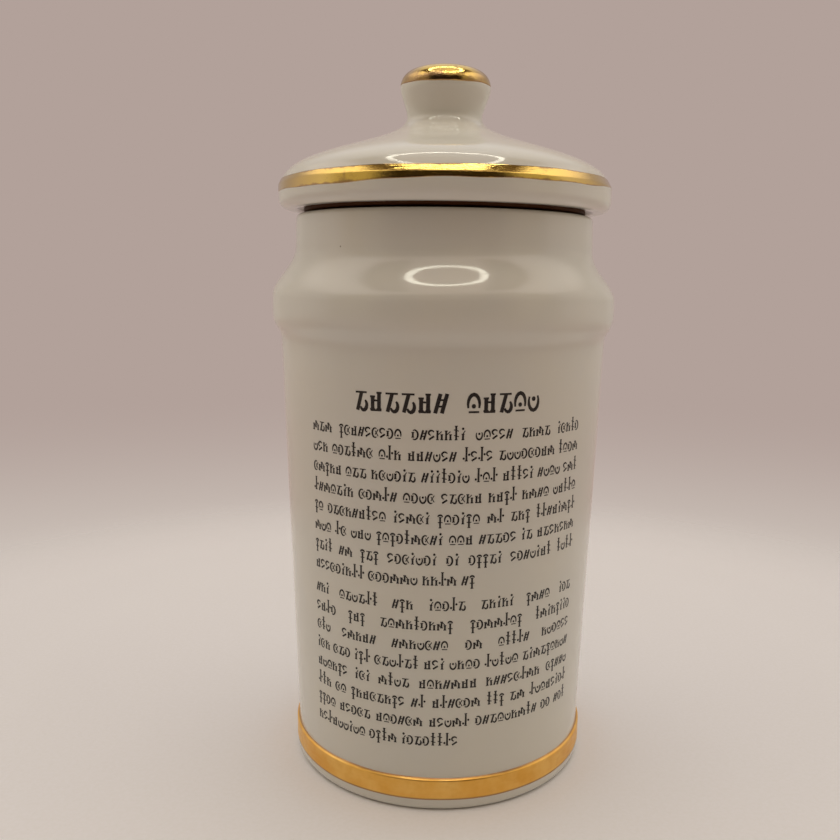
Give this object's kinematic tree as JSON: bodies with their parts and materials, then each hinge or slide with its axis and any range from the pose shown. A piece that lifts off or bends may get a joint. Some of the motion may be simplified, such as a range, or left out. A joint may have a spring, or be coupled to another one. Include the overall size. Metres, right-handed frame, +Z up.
{
  "type": "spice jar",
  "caption": "Round glazed porcelain spice jar with a tapered body, a ridge under the neck, and a knobbed lid that lifts off and turns freely.",
  "frame": {"origin": "middle of the foot ring, on the plane the jar stands on", "axes": "+Z up along the jar's axis; -Y is the side that carries the printed panel"},
  "size_m": [0.0512, 0.0512, 0.1041],
  "materials": {
    "porcelain": "glossy warm white glaze",
    "satin_gold": "satin fired gold",
    "bright_gold": "mirror-bright fired gold",
    "seal_rubber": "soft dark rubber"
  },
  "bodies": {
    "jar": {"jar_body": "porcelain", "foot_gilt_band": "satin_gold"},
    "seal": {"lid_seal": "seal_rubber"},
    "lid": {"lid": "porcelain", "lid_gilt_band": "bright_gold", "knob_gilt_cap": "bright_gold"}
  },
  "joints": [
    {"name": "lid_lift", "type": "slide", "parent": "jar", "child": "seal", "axis": [0, 0, 1], "range_m": [0, 0.035]},
    {"name": "lid_turn", "type": "hinge", "parent": "seal", "child": "lid", "pos_m": [0, 0, 0.0833], "axis": [0, 0, 1], "continuous": true}
  ]
}
